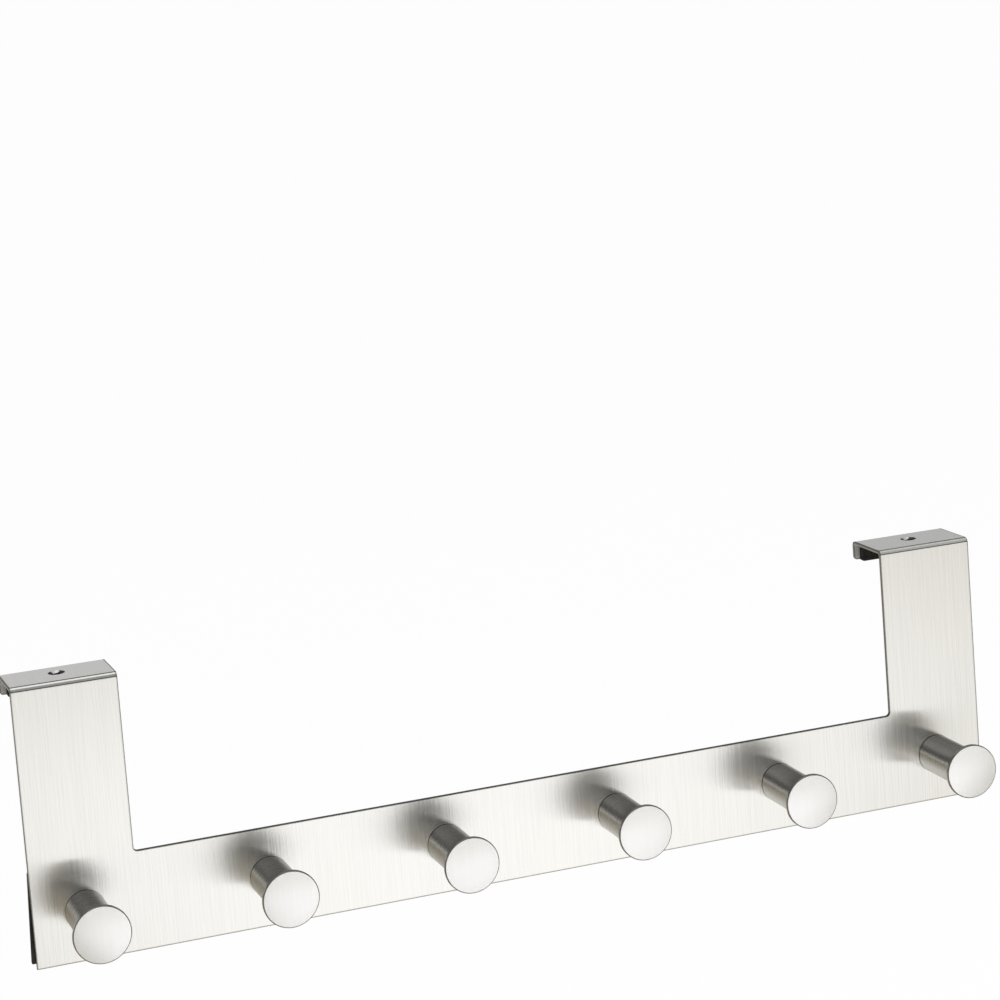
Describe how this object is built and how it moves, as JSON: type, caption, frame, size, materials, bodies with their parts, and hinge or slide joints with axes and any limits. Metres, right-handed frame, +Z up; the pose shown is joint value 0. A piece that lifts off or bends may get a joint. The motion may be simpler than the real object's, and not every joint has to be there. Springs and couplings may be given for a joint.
{
  "type": "over door hook rack",
  "caption": "Over door rack: a steel sheet folded into two hooks over a door, joined by a bar with a row of round-headed pegs, and foam pads behind.",
  "frame": {"origin": "midway between the two holes in the webs, on the plane of the webs' undersides, where the rack sits on the top edge of a door", "axes": "+X runs along the width, to the right as seen from the front; the front and its pegs face -Y; +Z is up"},
  "size_m": [0.3814, 0.054, 0.103],
  "materials": {
    "brushed_sheet": "upright brushed grain",
    "turned_steel": "fine turned satin",
    "screw_steel": "bright zinc",
    "black_foam": "matt closed-cell foam"
  },
  "bodies": {
    "root": {"hook_rail": "brushed_sheet", "bar_strip": "black_foam", "peg_1": "turned_steel", "peg_2": "turned_steel", "peg_3": "turned_steel", "peg_4": "turned_steel", "peg_5": "turned_steel", "peg_6": "turned_steel", "peg_screw_1": "screw_steel", "peg_screw_2": "screw_steel", "peg_screw_3": "screw_steel", "peg_screw_4": "screw_steel", "peg_screw_5": "screw_steel", "peg_screw_6": "screw_steel", "lip_pad_left": "black_foam", "lip_pad_right": "black_foam"}
  },
  "joints": []
}
